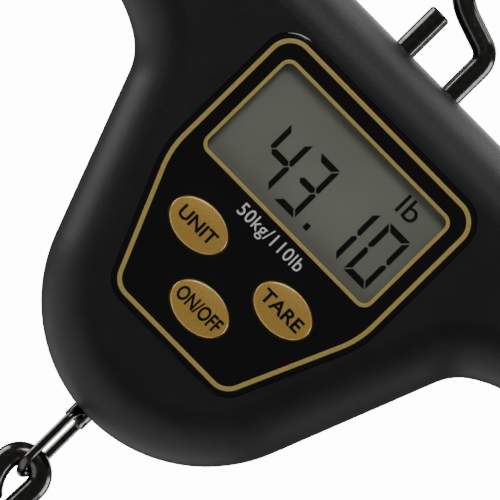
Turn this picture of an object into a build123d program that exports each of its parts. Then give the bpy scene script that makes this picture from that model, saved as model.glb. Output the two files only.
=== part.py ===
from build123d import *
from math import atan2, cos, degrees, pi, radians, sin, tan
import os

# Digital hanging luggage scale: a two-handed housing that hangs from a wire hook
# and carries the load on a swivelling link and hook below.
# The origin is the point inside the top hook where the scale hangs.
# +Z is up, +X is to the right seen from the front, and the front faces -Y.

os.makedirs("parts", exist_ok=True)

# --- Housing -------------------------------------------------------------
housing_x = 1.7              # housing centre, to the right of the hook line
housing_height = 101.5
front_depth = 15.0           # seam plane to the front face
rear_depth = 15.0            # seam plane to the rear face
wall = 2.2
front_edge_radius = 12.0
rear_edge_radius = 9.0
belly_radius = 34.8          # round lower end, seen from the front
flank_lean = 21.0            # side walls, degrees from upright
flank_length = 37.2
armpit_radius = 12.0
armpit_turn = 34.0
underside_radius = 26.0      # arched underside of each handle
underside_turn = 39.0
grip_half_span = 97.5
grip_top_drop = 3.5
grip_top_corner = 14.0
grip_bottom_corner = 15.0
top_flat_half = 52.0
shoulder_blend = 350.0
seam_chamfer = 0.3

# --- Housing screws --------------------------------------------------------
housing_screw_spots = [(84, -19), (46, -21), (19, -86)]   # mirrored to both sides
screw_shank = 2.5
screw_head = 5.0
screw_head_height = 1.8
screw_hole_gap = 0.1
screw_boss = 6.4
screw_tube = 8.4
screw_seat = 3.0             # height of the head's seat behind the seam plane
screw_reach = 9.0            # how far the shank goes in front of the seam plane

# --- Label, window and display ----------------------------------------------
label_half_width = 28.0      # centre line of the printed border
label_top = -14.7
label_knee = -49.7
label_bottom = -77.55
label_foot_half = 15.95
label_top_corner = 5.0
label_knee_radius = 20.0
label_foot_corner = 4.5
label_margin = 1.7
label_thickness = 0.4
label_recess = 0.45
label_gap = 0.15
window_width = 47.6          # clear opening in the label
window_height = 24.95
window_centre = -31.6
window_corner = 1.7
window_thickness = 1.0
window_lap = 1.6             # how far the lens reaches under the label
window_ledge = 1.0
fit_gap = 0.1
lcd_width = 51.0
lcd_height = 30.0
lcd_thickness = 2.3
lcd_gap = 0.2
lcd_frame_wall = 1.3
lcd_frame_lip = 1.0
zebra_width = 1.8

# --- Keys ------------------------------------------------------------------
key_length = 14.4
key_height = 9.8
key_spread = 12.5
upper_key_row = -56.75
lower_key_row = -68.8
key_rise = 1.1               # key top above the housing face
key_edge = 0.9
key_gap = 0.35
key_flange = 1.0
key_flange_thickness = 0.9
key_travel = 0.4
key_float = 0.05
switch_size = 6.0
switch_height = 1.6
plunger_radius = 1.6
plunger_depth = 0.3          # how far the plunger sits inside its switch

# --- Circuit board -----------------------------------------------------------
board_thickness = 1.0
board_gap = 1.2              # between the board and the load cell
board_top = -9.5
board_half_width = 34.0
board_waist = -52.0
board_bottom = -80.0
board_foot_half = 18.5
board_corner = 2.0
board_screw_spots = [(31, -13), (13, -77)]                # mirrored to both sides
board_boss = 5.0
board_screw_shank = 2.0
board_screw_head = 4.0
board_screw_head_height = 1.2
board_screw_reach = 3.0

# --- Top hook -----------------------------------------------------------------
rod = 5.0                    # wire diameter of both hooks
hook_leg_spread = 13.6       # between the two legs in the housing
stub_rise = 10.8
bend_rise = 8.3
bend_radius = 4.2
hook_slant = 18.3
hook_entry_radius = 13.6
hook_bowl_radius = 11.1
hook_tip = 2.5
rod_hole_gap = 0.4
rod_chamfer = 0.5
hook_depth = 26.0            # from the housing top down to the load pin

# --- Load cell ------------------------------------------------------------------
cell_width = 25.0
cell_slot_gap = 0.2
cell_cheek = 3.5
cell_rise = 6.0              # load pin to the top of the cell
cell_upper_block = 6.0
cell_bar = 13.8
cell_lower_block = 14.0
cell_cut = 1.2
cell_hinge = 5.5             # metal left at the end of each cut
cell_window_width = 15.0
cell_window_height = 7.0
cell_corner = 1.0
pin_radius = 2.5
bush_gap = 0.1
gauge_thickness = 0.3
gauge_length = 6.0
gauge_depth = 8.0
cell_screw_spread = 17.0
cell_screw_shank = 3.0
cell_screw_head = 5.4
cell_screw_head_height = 1.6

# --- Swivel, link and load hook -----------------------------------------------------
stem = 5.2
stem_gap = 0.08
cavity_radius = 4.5
retainer_height = 5.0
retainer_gap = 0.05
washer_thickness = 0.8
washer_gap = 0.05
nut_radius = 4.0
nut_height = 3.0
exit_radius = 5.0
clevis_pin_drop = 1.7        # housing bottom to the clevis pin
clevis_below_pin = 1.5
clevis_slot = 3.0
clevis_slot_rise = 3.8
clevis_pin_radius = 1.0
link_wire = 2.0
link_bend = 4.2
link_length = 18.5           # between wire centres, top to bottom
link_play = 0.1
link_twist = 17.0            # degrees, about the vertical
eye_radius = 4.3
eye_play = 0.35
curl_radius = 10.2
curl_turn = 40.0
curl_end_radius = 5.0
curl_end_turn = 35.0
shank_length = 9.0
neck_radius = 8.0
neck_turn = 45.0
neck_run = 0.8
load_bowl_radius = 12.0
tip_flare_radius = 6.0
tip_flare = 30.0

# --- Batteries and their compartment -------------------------------------------------
battery_radius = 5.25
battery_length = 44.5
battery_nub = 1.0
battery_nub_radius = 1.9
battery_gap = 0.15
battery_side_gap = 0.3
battery_top = -9.0           # top end of the compartment
spring_length = 4.05
spring_radius = 2.6
spring_wire = 0.5
contact_thickness = 0.4
contact_gap = 0.05
contact_width = 7.0
contact_tab = 3.0
contact_tab_reach = 1.0
tray_wall = 1.2
tray_lip = 1.2               # joins the tray to the rear wall round the door opening
cell_side_gap = 0.7
door_thickness = 2.4
door_clearance = 0.5         # between the batteries and the door
door_gap = 0.2
door_pivot_radius = 0.8
door_pivot_gap = 0.05
door_pivot_reach = 0.9
door_seat_gap = 0.15          # behind the closed door
finger_notch_width = 10.0
finger_notch_depth = 1.3

# --- Leads ----------------------------------------------------------------------------
cell_lead = 1.4
cell_lead_y = 9.4            # how far back the lead passes behind the load cell
cell_lead_side = 24.0
battery_lead = 1.0
battery_lead_y = -4.1
battery_lead_drop = 8.0
terminal_depth = 2.0
terminal_height = 1.5
lead_bend_share = 0.45       # share of a run that a bend may take

# --- Sizes that follow from the ones above -----------------------------------------------
rod_radius = rod / 2
leg_x = hook_leg_spread / 2
bowl_depth = hook_bowl_radius - rod_radius
entry_centre_x = hook_entry_radius - hook_bowl_radius
slant_cos = cos(radians(hook_slant))
slant_sin = sin(radians(hook_slant))
bend_end_x = leg_x - bend_radius * (1 - slant_sin)
slant_run = (bend_end_x - entry_centre_x + hook_entry_radius * slant_sin) / slant_cos
hook_rise = bend_rise + bend_radius * slant_cos + slant_run * slant_sin
hook_rise += hook_entry_radius * slant_cos
housing_top = -bowl_depth - hook_rise
housing_bottom = housing_top - housing_height
pin_z = housing_top - hook_depth

cell_slot = rod + 2 * cell_slot_gap
cell_half = cell_slot / 2 + cell_cheek
cell_top = pin_z + cell_rise
slot_floor = pin_z - leg_x - rod_radius - cell_slot_gap * 2
upper_cut = slot_floor - cell_upper_block
bar_top = upper_cut - cell_cut
bar_middle = bar_top - cell_bar / 2
lower_cut = bar_top - cell_bar
block_top = lower_cut - cell_cut
cell_bottom = block_top - cell_lower_block
cell_height = cell_top - cell_bottom
cell_screw_z = slot_floor - cell_upper_block / 2

front_wall_y = wall - front_depth
lens_width = window_width + 2 * window_lap
lens_height = window_height + 2 * window_lap
board_rear_y = -cell_half - board_gap
board_front_y = board_rear_y - board_thickness
lcd_front_y = front_wall_y + lcd_gap
lcd_rear_y = lcd_front_y + lcd_thickness
key_back_y = front_wall_y + key_float + key_flange_thickness
switch_top_y = board_front_y - switch_height

clevis_pin_z = housing_bottom - clevis_pin_drop
stem_bottom = clevis_pin_z - clevis_below_pin
retainer_top = cell_bottom + retainer_height
nut_bottom = retainer_top + washer_thickness + washer_gap
nut_top = nut_bottom + nut_height
link_top = clevis_pin_z + clevis_pin_radius + link_wire / 2 + link_play
link_bottom = link_top - link_length
link_direction = Vector(-sin(radians(link_twist)), -cos(radians(link_twist)), 0)
link_normal = Vector(-cos(radians(link_twist)), sin(radians(link_twist)), 0)

tray_left = cell_width / 2 + cell_side_gap - housing_x
battery_1_x = tray_left + tray_wall + battery_gap + battery_radius
battery_2_x = battery_1_x + 2 * battery_radius + battery_side_gap
tray_right = battery_2_x + battery_radius + battery_gap + tray_wall
tray_width = tray_right - tray_left
tray_length = battery_length + spring_length + contact_gap + 2 * contact_thickness
tray_middle = (battery_top * 2 - tray_length) / 2
battery_y = rear_depth - door_thickness - door_clearance - battery_radius
tray_floor_y = battery_y - battery_radius - battery_gap
door_y = rear_depth - door_thickness
tray_lip_y = door_y - door_seat_gap - tray_wall
door_width = tray_width - 2 * door_gap
door_length = tray_length + 2 * tray_wall - 2 * door_gap
door_pivot_y = rear_depth - door_thickness / 2
door_pivot_z = tray_middle + door_length / 2 - door_thickness / 2


def face_plane(y):
    """Plane seen from the front, at a depth y, with its origin at the housing's top centre."""
    return Plane((housing_x, y, housing_top), x_dir=(1, 0, 0), z_dir=(0, -1, 0))


def axis_plane(y):
    """Plane seen from the front, at a depth y, with its origin on the hook line."""
    return Plane((0, y, 0), x_dir=(1, 0, 0), z_dir=(0, -1, 0))


def both_sides(spots):
    """The given spots and their mirror images."""
    return [(side * x, z) for x, z in spots for side in (-1, 1)]


def housing_outline(inset):
    """Front outline of the housing about its top centre, pulled in by an inset."""
    with BuildSketch() as outline:
        with BuildLine():
            belly = JernArc((0, -housing_height), (1, 0), belly_radius, 90 - flank_lean)
            flank = PolarLine(belly @ 1, flank_length, 90 - flank_lean)
            armpit = JernArc(flank @ 1, flank % 1, armpit_radius, -armpit_turn)
            arch = JernArc(armpit @ 1, armpit % 1, underside_radius, -underside_turn)
            heading = 90 - flank_lean - armpit_turn - underside_turn
            end_run = grip_half_span - (arch @ 1).X
            end_low = (grip_half_span, (arch @ 1).Y + end_run * tan(radians(heading)))
            end_high = (grip_half_span, -grip_top_drop)
            Polyline(arch @ 1, end_low, end_high, (top_flat_half, 0), (0, 0))
            mirror(about=Plane.YZ)
        make_face()
        for end in (0, -1):
            fillet(outline.vertices().group_by(Axis.X)[end].sort_by(Axis.Y)[-1], grip_top_corner)
            fillet(outline.vertices().group_by(Axis.X)[end].sort_by(Axis.Y)[0], grip_bottom_corner)
        for side in (0, -1):
            shoulders = outline.vertices().group_by(Axis.Y)[-1].sort_by(Axis.X)
            fillet(shoulders[side], shoulder_blend)
        if inset > 0:
            offset(amount=-inset)
    return outline.sketch


def housing_block(inset, depth, edge_radius, front):
    """One half of the housing as a solid block, with its face edges rounded."""
    with BuildPart() as block:
        with BuildSketch(face_plane(0)):
            add(housing_outline(inset))
        extrude(amount=depth if front else -depth)
        face = block.faces().sort_by(Axis.Y)[0 if front else -1]
        fillet(face.edges(), edge_radius)
    return block.part


def label_outline(grow):
    """Outline of the front label, measured from the centre line of its printed border."""
    with BuildSketch() as label:
        with BuildLine():
            Polyline(
                (label_half_width, label_top),
                (label_half_width, label_knee),
                (label_foot_half, label_bottom),
                (0, label_bottom),
            )
            Line((label_half_width, label_top), (0, label_top))
            mirror(about=Plane.YZ)
        make_face()
        for row, radius in ((1, label_knee_radius), (0, label_foot_corner), (-1, label_top_corner)):
            rows = label.vertices().filter_by(lambda v: abs(v.X) > 1).group_by(Axis.Y)
            fillet(rows[row], radius)
        offset(amount=grow)
    return label.sketch


def key_outline(x, z, grow):
    """Oval outline of one key."""
    with BuildSketch() as oval:
        with Locations((x, z)):
            Ellipse(key_length / 2 + grow, key_height / 2 + grow)
    return oval.sketch


keys = {
    "unit": (-key_spread, upper_key_row),
    "tare": (key_spread, upper_key_row),
    "on_off": (0, lower_key_row),
}
front_block = housing_block(0, front_depth, front_edge_radius, True)
front_cavity = housing_block(wall, front_depth - wall, front_edge_radius - wall, True)
rear_block = housing_block(0, rear_depth, rear_edge_radius, False)
rear_cavity = housing_block(wall, rear_depth - wall, rear_edge_radius - wall, False)


def cut_wire_holes():
    """Cut the two holes for the hook legs and the one for the swivel."""
    with Locations((-leg_x, 0, housing_top), (leg_x, 0, housing_top)):
        Cylinder(rod_radius + rod_hole_gap, 4 * wall, mode=Mode.SUBTRACT)
    with Locations((0, 0, housing_bottom)):
        Cylinder(exit_radius, 4 * wall, mode=Mode.SUBTRACT)


# --- Front housing: shell, label recess, window, key holes and screw bosses --------------
with BuildPart() as front_housing:
    add(front_block)
    outer_seam = front_housing.faces().sort_by(Axis.Y)[-1].edges()
    chamfer(outer_seam, seam_chamfer)
    add(front_cavity, mode=Mode.SUBTRACT)
    with BuildSketch(face_plane(0)):
        with Locations(both_sides(housing_screw_spots)):
            Circle(screw_boss / 2)
    extrude(amount=front_depth - wall / 2)
    with BuildSketch(face_plane(board_front_y)):
        with Locations(both_sides(board_screw_spots)):
            Circle(board_boss / 2)
    extrude(amount=board_front_y + front_depth - wall / 2)
    add(front_block, mode=Mode.INTERSECT)
    with BuildSketch(face_plane(fit_gap)):
        with Locations(both_sides(housing_screw_spots)):
            Circle(screw_shank / 2 + screw_hole_gap)
    extrude(amount=screw_reach + 1, mode=Mode.SUBTRACT)
    with BuildSketch(face_plane(board_front_y)):
        with Locations(both_sides(board_screw_spots)):
            Circle(board_screw_shank / 2 + screw_hole_gap)
    extrude(amount=board_screw_reach + screw_hole_gap, mode=Mode.SUBTRACT)
    with BuildSketch(face_plane(label_recess - front_depth)):
        add(label_outline(label_margin + label_gap))
    extrude(amount=wall, mode=Mode.SUBTRACT)
    with BuildSketch(face_plane(label_recess + window_thickness - front_depth)):
        with Locations((0, window_centre)):
            RectangleRounded(lens_width + 2 * fit_gap, lens_height + 2 * fit_gap, window_corner)
    extrude(amount=wall, mode=Mode.SUBTRACT)
    with BuildSketch(face_plane(front_wall_y + fit_gap)):
        with Locations((0, window_centre)):
            RectangleRounded(
                lens_width - 2 * window_ledge, lens_height - 2 * window_ledge, window_corner
            )
        for x, z in keys.values():
            add(key_outline(x, z, key_gap))
    extrude(amount=2 * wall, mode=Mode.SUBTRACT)
    cut_wire_holes()

front_housing.part.label = "front_housing"
export_step(front_housing.part, "parts/front_housing.step")

# --- Rear housing: shell, screw tubes, battery tray, load cell posts, door opening ---------
with BuildPart() as rear_housing:
    add(rear_block)
    outer_seam = rear_housing.faces().sort_by(Axis.Y)[0].edges()
    chamfer(outer_seam, seam_chamfer)
    add(rear_cavity, mode=Mode.SUBTRACT)
    with BuildSketch(face_plane(0)):
        with Locations(both_sides(housing_screw_spots)):
            Circle(screw_tube / 2)
    extrude(amount=wall / 2 - rear_depth)
    with BuildSketch(face_plane(cell_half)):
        with Locations(
            (-cell_screw_spread / 2 - housing_x, cell_screw_z - housing_top),
            (cell_screw_spread / 2 - housing_x, cell_screw_z - housing_top),
        ):
            Circle(cell_screw_head / 2 + 1)
    extrude(amount=cell_half + wall / 2 - rear_depth)
    with BuildSketch(face_plane(tray_floor_y - tray_wall)):
        with Locations(((tray_left + tray_right) / 2, tray_middle)):
            Rectangle(tray_width, tray_length + 2 * tray_wall)
    extrude(amount=tray_floor_y - tray_wall + wall / 2 - rear_depth)
    with BuildSketch(face_plane(tray_lip_y)):
        with Locations(((tray_left + tray_right) / 2, tray_middle)):
            Rectangle(tray_width + 2 * tray_lip, tray_length + 2 * tray_wall + 2 * tray_lip)
    extrude(amount=tray_lip_y + wall / 2 - rear_depth)
    add(rear_block, mode=Mode.INTERSECT)
    with BuildSketch(face_plane(tray_floor_y)):
        with Locations(((tray_left + tray_right) / 2, tray_middle)):
            Rectangle(tray_width - 2 * tray_wall, tray_length)
    extrude(amount=tray_floor_y - rear_depth - wall, mode=Mode.SUBTRACT)
    with BuildSketch(face_plane(door_y - door_seat_gap)):
        with Locations(((tray_left + tray_right) / 2, tray_middle)):
            Rectangle(tray_width, tray_length + 2 * tray_wall)
    extrude(amount=-2 * door_thickness, mode=Mode.SUBTRACT)
    with Locations(
        Location(
            ((tray_left + tray_right) / 2 + housing_x, door_pivot_y, housing_top + door_pivot_z),
            (0, 90, 0),
        )
    ):
        Cylinder(
            door_pivot_radius + door_pivot_gap,
            tray_width + 2 * door_pivot_reach,
            mode=Mode.SUBTRACT,
        )
    with Locations(
        Location(
            (
                (tray_left + tray_right) / 2 + housing_x,
                rear_depth,
                housing_top + tray_middle - tray_length / 2 - tray_wall,
            ),
            (0, 90, 0),
        )
    ):
        Cylinder(finger_notch_depth, finger_notch_width, mode=Mode.SUBTRACT)
    with BuildSketch(face_plane(tray_floor_y + fit_gap)):
        with Locations(
            (battery_1_x, battery_top - contact_thickness / 2),
            (battery_2_x, battery_top - contact_thickness / 2),
        ):
            Rectangle(contact_tab + 4 * fit_gap, contact_thickness + 2 * fit_gap)
    extrude(amount=2 * tray_wall, mode=Mode.SUBTRACT)
    with BuildSketch(face_plane(0)):
        with Locations(both_sides(housing_screw_spots)):
            Circle(screw_shank / 2 + screw_hole_gap)
    extrude(amount=-rear_depth, mode=Mode.SUBTRACT)
    with BuildSketch(face_plane(screw_seat)):
        with Locations(both_sides(housing_screw_spots)):
            Circle(screw_head / 2 + 3 * screw_hole_gap)
    extrude(amount=-rear_depth, mode=Mode.SUBTRACT)
    with BuildSketch(face_plane(cell_half)):
        with Locations(
            (-cell_screw_spread / 2 - housing_x, cell_screw_z - housing_top),
            (cell_screw_spread / 2 - housing_x, cell_screw_z - housing_top),
        ):
            Circle(cell_screw_shank / 2 + screw_hole_gap)
    extrude(amount=cell_half + wall - rear_depth, mode=Mode.SUBTRACT)
    cut_wire_holes()
rear_housing.part.label = "rear_housing"
export_step(rear_housing.part, "parts/rear_housing.step")

# --- Housing screws: six pan head screws driven from the back --------------------------------
with BuildPart() as housing_screws:
    with BuildSketch(face_plane(screw_seat)):
        with Locations(both_sides(housing_screw_spots)):
            Circle(screw_shank / 2)
    extrude(amount=screw_seat + screw_reach)
    with BuildSketch(face_plane(screw_seat)):
        with Locations(both_sides(housing_screw_spots)):
            Circle(screw_head / 2)
    extrude(amount=-screw_head_height)
    heads = housing_screws.faces().group_by(Axis.Y)[-1]
    fillet(heads.edges(), screw_head_height / 3)
    with BuildSketch(face_plane(screw_seat + screw_head_height)):
        with Locations(both_sides(housing_screw_spots)):
            Rectangle(screw_head / 2, screw_head / 8)
            Rectangle(screw_head / 8, screw_head / 2)
    extrude(amount=screw_head_height / 2, mode=Mode.SUBTRACT)
housing_screws.part.label = "housing_screws"
export_step(housing_screws.part, "parts/housing_screws.step")

# --- Label: a thin film with the window and three key openings -------------------------------
with BuildPart() as label_overlay:
    with BuildSketch(face_plane(label_recess - front_depth)):
        add(label_outline(label_margin))
    extrude(amount=label_thickness)
    with BuildSketch(face_plane(label_recess - front_depth)):
        with Locations((0, window_centre)):
            RectangleRounded(window_width, window_height, window_corner)
        for x, z in keys.values():
            add(key_outline(x, z, key_gap))
    extrude(amount=label_thickness, mode=Mode.SUBTRACT)
label_overlay.part.label = "label_overlay"
export_step(label_overlay.part, "parts/label_overlay.step")

# --- Window: clear lens under the label, on a ledge in the front housing ---------------------------------------
with BuildPart() as display_window:
    with BuildSketch(face_plane(label_recess + window_thickness - front_depth)):
        with Locations((0, window_centre)):
            RectangleRounded(lens_width, lens_height, window_corner)
    extrude(amount=window_thickness)
display_window.part.label = "display_window"
export_step(display_window.part, "parts/display_window.step")

# --- Display: liquid crystal glass, its frame and the two contact strips behind it --------------
with BuildPart() as lcd_glass:
    with BuildSketch(face_plane(lcd_rear_y)):
        with Locations((0, window_centre)):
            Rectangle(lcd_width, lcd_height)
    extrude(amount=lcd_thickness)
    with BuildSketch(face_plane(lcd_front_y)):
        with Locations((0, window_centre + lcd_height / 2)):
            Rectangle(lcd_width, 2 * lcd_frame_lip)
    extrude(amount=-lcd_thickness / 2, mode=Mode.SUBTRACT)
lcd_glass.part.label = "lcd_glass"
export_step(lcd_glass.part, "parts/lcd_glass.step")

frame_width = lcd_width + 2 * (fit_gap + lcd_frame_wall)
frame_height = lcd_height + 2 * (fit_gap + lcd_frame_wall)
with BuildPart() as lcd_frame:
    with BuildSketch(face_plane(board_front_y - fit_gap)):
        with Locations((0, window_centre)):
            RectangleRounded(frame_width, frame_height, lcd_frame_wall)
    extrude(amount=board_front_y - fit_gap - lcd_front_y)
    with BuildSketch(face_plane(lcd_rear_y + fit_gap)):
        with Locations((0, window_centre)):
            Rectangle(lcd_width + 2 * fit_gap, lcd_height + 2 * fit_gap)
    extrude(amount=2 * lcd_thickness, mode=Mode.SUBTRACT)
    with BuildSketch(face_plane(board_front_y)):
        with Locations((0, window_centre)):
            Rectangle(lcd_width - 2 * lcd_frame_lip, lcd_height + 2 * fit_gap)
    extrude(amount=2 * lcd_thickness, mode=Mode.SUBTRACT)
lcd_frame.part.label = "lcd_frame"
export_step(lcd_frame.part, "parts/lcd_frame.step")

zebra_z = window_centre + lcd_height / 2 - zebra_width
with BuildPart() as zebra_strips:
    with BuildSketch(face_plane(board_front_y - fit_gap / 2)):
        with Locations((0, zebra_z), (0, 2 * window_centre - zebra_z)):
            Rectangle(lcd_width - 4 * lcd_frame_lip, zebra_width)
    extrude(amount=board_front_y - lcd_rear_y - fit_gap)
zebra_strips.part.label = "zebra_strips"
export_step(zebra_strips.part, "parts/zebra_strips.step")

# --- Circuit board, its screws and what is soldered on it -----------------------------------------
with BuildPart() as circuit_board:
    with BuildSketch(face_plane(board_rear_y)):
        with BuildLine():
            Polyline(
                (board_half_width, board_top),
                (board_half_width, board_waist),
                (board_foot_half, board_bottom),
                (0, board_bottom),
            )
            Line((board_half_width, board_top), (0, board_top))
            mirror(about=Plane.YZ)
        make_face()
    extrude(amount=board_thickness)
    fillet(circuit_board.edges().filter_by(Axis.Y), board_corner)
    with BuildSketch(face_plane(board_rear_y)):
        with Locations(both_sides(board_screw_spots)):
            Circle(board_screw_shank / 2 + screw_hole_gap)
    extrude(amount=board_thickness, mode=Mode.SUBTRACT)
circuit_board.part.label = "circuit_board"
export_step(circuit_board.part, "parts/circuit_board.step")

with BuildPart() as board_screws:
    with BuildSketch(face_plane(board_rear_y)):
        with Locations(both_sides(board_screw_spots)):
            Circle(board_screw_shank / 2)
    extrude(amount=board_thickness + board_screw_reach)
    with BuildSketch(face_plane(board_rear_y)):
        with Locations(both_sides(board_screw_spots)):
            Circle(board_screw_head / 2)
    extrude(amount=-board_screw_head_height)
board_screws.part.label = "board_screws"
export_step(board_screws.part, "parts/board_screws.step")

chip_x = -(cell_width / 2 + housing_x + 2.5 + 5)
with BuildPart() as board_components:
    with BuildSketch(face_plane(board_rear_y)):
        with Locations((chip_x, -30)):
            RectangleRounded(10, 10, 0.6)
        with Locations((chip_x, -19)):
            SlotOverall(8, 3)
    extrude(amount=-1.6)
    with BuildSketch(face_plane(board_rear_y)):
        with Locations((chip_x - 5, -13), (chip_x, -13), (chip_x - 5, -38), (chip_x + 2, -38)):
            Rectangle(2, 1.25)
    extrude(amount=-0.9)
board_components.part.label = "board_components"
export_step(board_components.part, "parts/board_components.step")

# --- Key switches: three bodies on the board, each with a bore for its plunger --------------------
with BuildPart() as key_switches:
    with BuildSketch(face_plane(board_front_y)):
        with Locations(*keys.values()):
            RectangleRounded(switch_size, switch_size, 0.5)
    extrude(amount=switch_height)
    with BuildSketch(face_plane(switch_top_y)):
        with Locations(*keys.values()):
            Circle(plunger_radius + fit_gap)
    extrude(amount=-(plunger_depth + key_travel + fit_gap), mode=Mode.SUBTRACT)
key_switches.part.label = "key_switches"
export_step(key_switches.part, "parts/key_switches.step")

# --- Keys and plungers: one pair for each key --------------------------------------------------------
for name, (x, z) in keys.items():
    with BuildPart() as key:
        with BuildSketch(face_plane(key_back_y)):
            add(key_outline(x, z, 0))
        extrude(amount=key_back_y + front_depth + key_rise)
        fillet(key.faces().sort_by(Axis.Y)[0].edges(), key_edge)
        with BuildSketch(face_plane(key_back_y)):
            add(key_outline(x, z, key_flange))
        extrude(amount=key_flange_thickness)
    key.part.label = "button_" + name
    export_step(key.part, "parts/button_" + name + ".step")
    with BuildPart() as plunger:
        with BuildSketch(face_plane(switch_top_y + plunger_depth)):
            with Locations((x, z)):
                Circle(plunger_radius)
        extrude(amount=switch_top_y + plunger_depth - key_back_y)
    plunger.part.label = "plunger_" + name
    export_step(plunger.part, "parts/plunger_" + name + ".step")

# --- Top hook: one bent wire, from the stub down round the load pin and up to the open bowl --------
with BuildPart() as top_hook:
    with BuildLine(Plane.XZ) as wire:
        stub = Line((-leg_x, housing_top + stub_rise), (-leg_x, pin_z))
        turn = JernArc(stub @ 1, (0, -1), leg_x, 180)
        leg = Line(turn @ 1, (leg_x, housing_top + bend_rise))
        bend = JernArc(leg @ 1, (0, 1), bend_radius, 90 - hook_slant)
        slant = PolarLine(bend @ 1, slant_run, 180 - hook_slant)
        entry = JernArc(slant @ 1, slant % 1, hook_entry_radius, hook_slant - 90)
        bowl = JernArc(entry @ 1, (0, 1), hook_bowl_radius, -180)
        Line(bowl @ 1, bowl @ 1 - Vector(0, 0, hook_tip))
    with BuildSketch(Plane((-leg_x, 0, housing_top + stub_rise), z_dir=(0, 0, -1))):
        Circle(rod_radius)
    sweep()
    ends = top_hook.faces().filter_by(GeomType.PLANE)
    chamfer(ends.edges(), rod_chamfer)
top_hook.part.label = "top_hook"
export_step(top_hook.part, "parts/top_hook.step")

# --- Load cell: clevis on top, cut bar in the middle, bored block below -----------------------------
with BuildPart() as load_cell:
    with BuildSketch(axis_plane(cell_half)):
        with Locations((0, cell_bottom + cell_height / 2)):
            RectangleRounded(cell_width, cell_height, cell_corner)
    extrude(amount=2 * cell_half)
    with BuildSketch(axis_plane(cell_slot / 2)):
        with Locations((0, slot_floor + cell_height / 2)):
            Rectangle(2 * cell_width, cell_height)
    extrude(amount=cell_slot, mode=Mode.SUBTRACT)
    with BuildSketch(axis_plane(cell_half)):
        with Locations((0, pin_z)):
            Circle(pin_radius + fit_gap / 2)
        with Locations((-cell_screw_spread / 2, cell_screw_z), (cell_screw_spread / 2, cell_screw_z)):
            Circle(cell_screw_shank / 2 + screw_hole_gap)
        with Locations((cell_hinge, upper_cut - cell_cut / 2), (-cell_hinge, lower_cut - cell_cut / 2)):
            Rectangle(cell_width, cell_cut)
        with Locations((0, bar_middle)):
            SlotOverall(cell_window_width, cell_window_height)
    extrude(amount=2 * cell_half, mode=Mode.SUBTRACT)
    with BuildSketch(Plane.XY.offset(cell_bottom)):
        Circle(cavity_radius)
    extrude(amount=nut_top + 1 - cell_bottom, mode=Mode.SUBTRACT)
load_cell.part.label = "load_cell"
export_step(load_cell.part, "parts/load_cell.step")

with BuildPart() as cell_screws:
    with BuildSketch(axis_plane(-cell_half)):
        with Locations((-cell_screw_spread / 2, cell_screw_z), (cell_screw_spread / 2, cell_screw_z)):
            Circle(cell_screw_shank / 2)
    extrude(amount=wall + screw_hole_gap - cell_half - rear_depth)
    with BuildSketch(axis_plane(-cell_half)):
        with Locations((-cell_screw_spread / 2, cell_screw_z), (cell_screw_spread / 2, cell_screw_z)):
            Circle(cell_screw_head / 2)
    extrude(amount=board_gap / 2)
cell_screws.part.label = "cell_screws"
export_step(cell_screws.part, "parts/cell_screws.step")

with BuildPart() as load_pin:
    with BuildSketch(axis_plane(cell_half)):
        with Locations((0, pin_z)):
            Circle(pin_radius)
    extrude(amount=2 * cell_half)
load_pin.part.label = "load_pin"
export_step(load_pin.part, "parts/load_pin.step")

with BuildPart() as pin_bush:
    with BuildSketch(axis_plane(rod_radius)):
        with Locations((0, pin_z)):
            Circle(leg_x - rod_radius - bush_gap)
            Circle(pin_radius + fit_gap / 2, mode=Mode.SUBTRACT)
    extrude(amount=rod)
pin_bush.part.label = "pin_bush"
export_step(pin_bush.part, "parts/pin_bush.step")

# --- Strain gauges on the flats of the cell's window, with a terminal block on the lower one -------
gauge_z = cell_window_height / 2 - gauge_thickness / 2
terminal_y = -gauge_depth / 4
with BuildPart() as strain_gauges:
    with Locations((0, 0, bar_middle + gauge_z), (0, 0, bar_middle - gauge_z)):
        Box(gauge_length, gauge_depth, gauge_thickness)
    with Locations((0, terminal_y, bar_middle - gauge_z + gauge_thickness / 2)):
        Box(
            gauge_length,
            terminal_depth,
            terminal_height,
            align=(Align.CENTER, Align.CENTER, Align.MIN),
        )
strain_gauges.part.label = "strain_gauges"
export_step(strain_gauges.part, "parts/strain_gauges.step")

# --- Swivel: retainer and thrust washer in the load cell, stem with its nut, clevis and pin --------
with BuildPart() as swivel_retainer:
    with BuildSketch(Plane.XY.offset(cell_bottom)):
        Circle(cavity_radius - retainer_gap)
        Circle(stem / 2 + stem_gap, mode=Mode.SUBTRACT)
    extrude(amount=retainer_height)
swivel_retainer.part.label = "swivel_retainer"
export_step(swivel_retainer.part, "parts/swivel_retainer.step")

with BuildPart() as thrust_washer:
    with BuildSketch(Plane.XY.offset(retainer_top)):
        Circle(cavity_radius - 2 * fit_gap)
        Circle(stem / 2 + fit_gap, mode=Mode.SUBTRACT)
    extrude(amount=washer_thickness)
thrust_washer.part.label = "thrust_washer"
export_step(thrust_washer.part, "parts/thrust_washer.step")

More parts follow.
